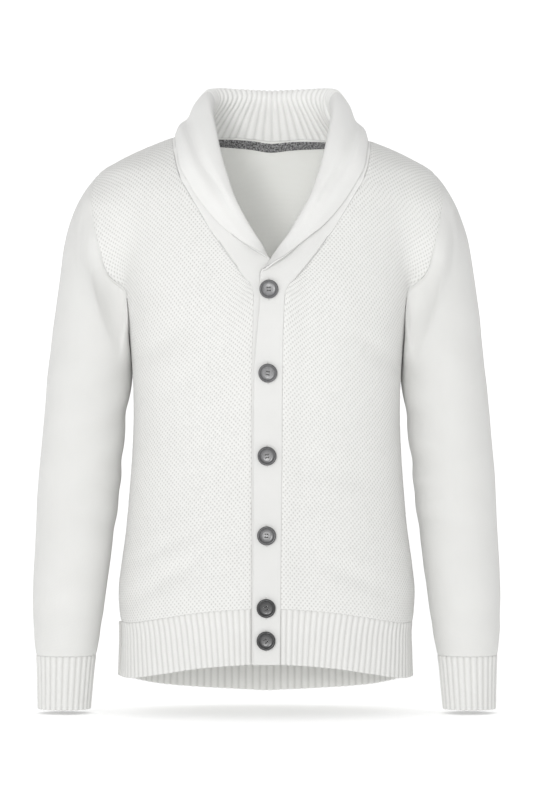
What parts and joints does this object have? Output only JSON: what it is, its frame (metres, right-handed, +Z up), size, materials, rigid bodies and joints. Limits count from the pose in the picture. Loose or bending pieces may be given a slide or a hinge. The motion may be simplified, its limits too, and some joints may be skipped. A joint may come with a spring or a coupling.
{
  "type": "shawl-collar v-neck cardigan",
  "caption": "Hollow buttoned v-neck cardigan with a rolled shawl collar, long sleeves, ribbed hem and cuffs, filled out as if worn.",
  "frame": {"origin": "midway between the shoulders, level with the collar seam at the neck: where the wearer's shoulders hold it", "axes": "+Z up along the garment's length, -Y the front, +X towards the wearer's left"},
  "size_m": [0.5828, 0.2426, 0.7781],
  "materials": {
    "seed_knit": "off-white knit in seed stitch, matt",
    "plain_knit": "off-white plain knit, matt",
    "rib_knit": "off-white ribbed knit, matt",
    "band_knit": "off-white fine plain knit, matt",
    "tape": "dark grey flecked twill tape",
    "button": "dark charcoal, satin, slightly marbled"
  },
  "bodies": {
    "root": {"front_left": "seed_knit", "front_right": "seed_knit", "back": "plain_knit", "sleeve_left": "plain_knit", "sleeve_right": "plain_knit", "cuff_left": "rib_knit", "cuff_right": "rib_knit", "hem_left": "rib_knit", "hem_right": "rib_knit", "hem_back": "rib_knit", "band_left": "band_knit", "band_right": "band_knit", "collar_back": "rib_knit", "neck_tape": "tape", "button_1": "button", "button_2": "button", "button_3": "button", "button_4": "button", "button_5": "button", "button_6": "button"}
  },
  "joints": []
}
